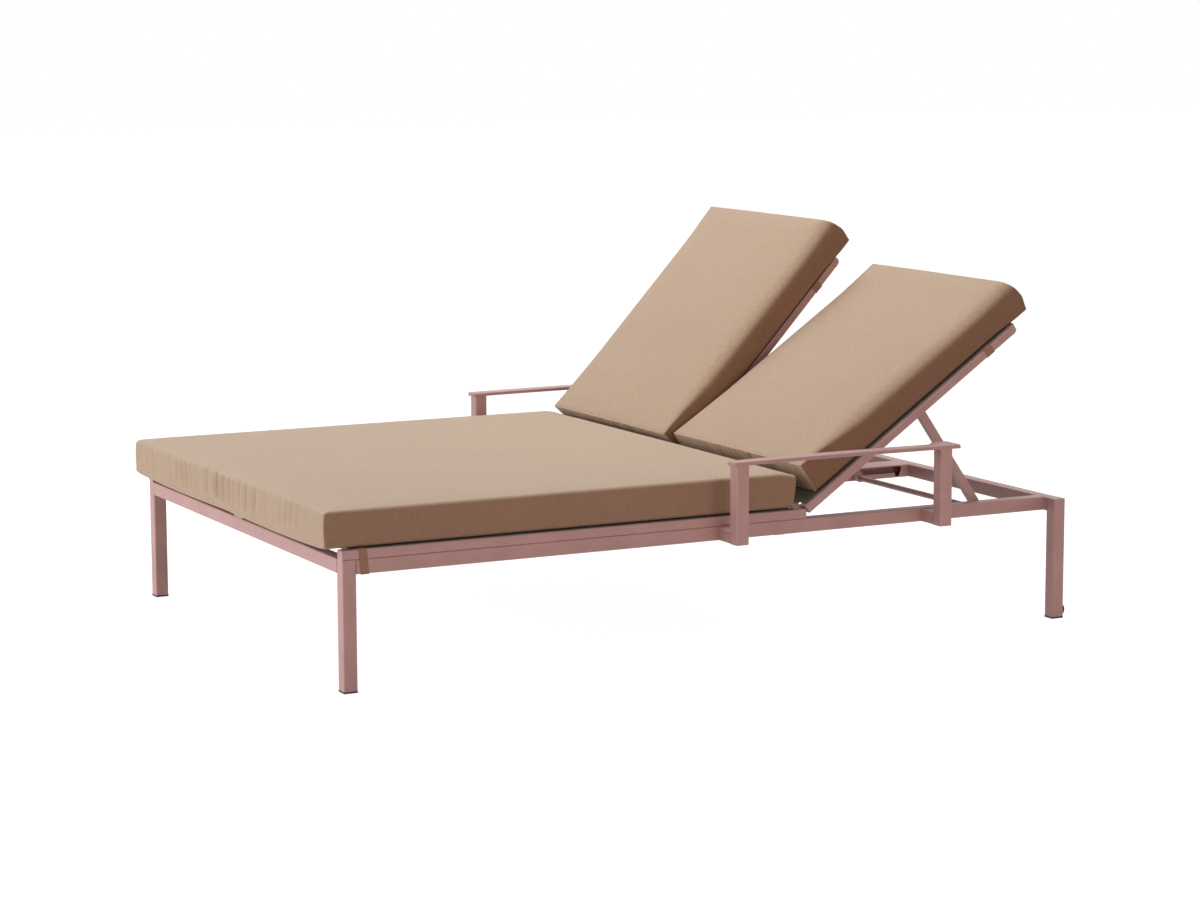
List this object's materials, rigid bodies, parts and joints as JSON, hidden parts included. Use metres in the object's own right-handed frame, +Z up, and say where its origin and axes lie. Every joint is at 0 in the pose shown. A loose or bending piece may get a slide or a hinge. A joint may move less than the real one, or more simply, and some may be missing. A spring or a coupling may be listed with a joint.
{
  "type": "double chaise lounger",
  "caption": "Wide outdoor double chaise lounger with a shared seat cushion, separately reclining prop-up backrests, low armrests and rear transport wheels.",
  "frame": {"origin": "on the floor under the middle of the bounding box, as pictured with one backrest higher than the other", "axes": "+X across the width towards the side seen nearest in the picture, +Y from the foot end to the head end, +Z up"},
  "size_m": [1.543, 2.055, 1.0014],
  "materials": {
    "frame_coat": "satin dusty rose brown powder coat",
    "cushion_fabric": "plain woven outdoor fabric, tan",
    "strap_fabric": "woven tape, brown",
    "sling_mesh": "coated mesh, dark grey green",
    "black_plastic": "moulded black",
    "wheel_rubber": "hard black rubber",
    "fastener_steel": "zinc plated"
  },
  "bodies": {
    "frame": {"armrest_blade_left": "frame_coat", "armrest_blade_right": "frame_coat", "armrest_brackets_left": "frame_coat", "armrest_brackets_right": "frame_coat", "armrest_post_front_left": "frame_coat", "armrest_post_front_right": "frame_coat", "armrest_post_rear_left": "frame_coat", "armrest_post_rear_right": "frame_coat", "centre_beam": "frame_coat", "centre_hinge_lug": "frame_coat", "foot_caps": "black_plastic", "foot_straps": "strap_fabric", "front_leg_left": "frame_coat", "front_leg_right": "frame_coat", "front_rail": "frame_coat", "hinge_pins": "fastener_steel", "mid_cross_rails": "frame_coat", "rear_leg_left": "frame_coat", "rear_leg_right": "frame_coat", "rear_rail": "frame_coat", "seat_centre_bar": "frame_coat", "seat_cushion": "cushion_fabric", "seat_hinge_ears": "frame_coat", "seat_side_bar_left": "frame_coat", "seat_side_bar_right": "frame_coat", "seat_sling_left": "sling_mesh", "seat_sling_right": "sling_mesh", "seat_spreaders": "frame_coat", "side_rail_left": "frame_coat", "side_rail_right": "frame_coat", "wheel_axles": "fastener_steel", "wheel_forks": "black_plastic"},
    "back_right": {"back_cushion_right": "cushion_fabric", "back_hinge_ears_right": "frame_coat", "back_inner_bar_right": "frame_coat", "back_outer_bar_right": "frame_coat", "back_sling_right": "sling_mesh", "back_spreaders_right": "frame_coat", "back_straps_right": "strap_fabric", "back_top_bar_right": "frame_coat", "prop_pivots_right": "fastener_steel"},
    "back_left": {"back_cushion_left": "cushion_fabric", "back_hinge_ears_left": "frame_coat", "back_inner_bar_left": "frame_coat", "back_outer_bar_left": "frame_coat", "back_sling_left": "sling_mesh", "back_spreaders_left": "frame_coat", "back_straps_left": "strap_fabric", "back_top_bar_left": "frame_coat", "prop_pivots_left": "fastener_steel"},
    "prop_right": {"prop_crossbar_right": "frame_coat", "prop_inner_leg_right": "frame_coat", "prop_outer_leg_right": "frame_coat"},
    "prop_left": {"prop_crossbar_left": "frame_coat", "prop_inner_leg_left": "frame_coat", "prop_outer_leg_left": "frame_coat"},
    "wheel_right": {"wheel_right": "wheel_rubber"},
    "wheel_left": {"wheel_left": "wheel_rubber"}
  },
  "joints": [
    {"name": "right_back_hinge", "type": "hinge", "parent": "frame", "child": "back_right", "pos_m": [0.347, 0.254, 0.338], "axis": [1, 0, 0], "range_deg": [-13.6, 12.7]},
    {"name": "left_back_hinge", "type": "hinge", "parent": "frame", "child": "back_left", "pos_m": [-0.347, 0.254, 0.338], "axis": [1, 0, 0], "range_deg": [-47.2, 0]},
    {"name": "right_prop_pivot", "type": "hinge", "parent": "back_right", "child": "prop_right", "pos_m": [0.347, 0.6163, 0.57002], "axis": [1, 0, 0], "range_deg": [-38.2, 40.9]},
    {"name": "left_prop_pivot", "type": "hinge", "parent": "back_left", "child": "prop_left", "pos_m": [-0.347, 0.55643, 0.64399], "axis": [1, 0, 0], "range_deg": [-36.9, 0]},
    {"name": "right_wheel_spin", "type": "hinge", "parent": "frame", "child": "wheel_right", "pos_m": [0.7125, 1.0095, 0.02], "axis": [1, 0, 0], "continuous": true},
    {"name": "left_wheel_spin", "type": "hinge", "parent": "frame", "child": "wheel_left", "pos_m": [-0.7125, 1.0095, 0.02], "axis": [1, 0, 0], "continuous": true}
  ],
  "couplings": [
    {"joint": "right_prop_pivot", "follows": "right_back_hinge", "ratio": -3},
    {"joint": "left_prop_pivot", "follows": "left_back_hinge", "ratio": 0.78}
  ]
}
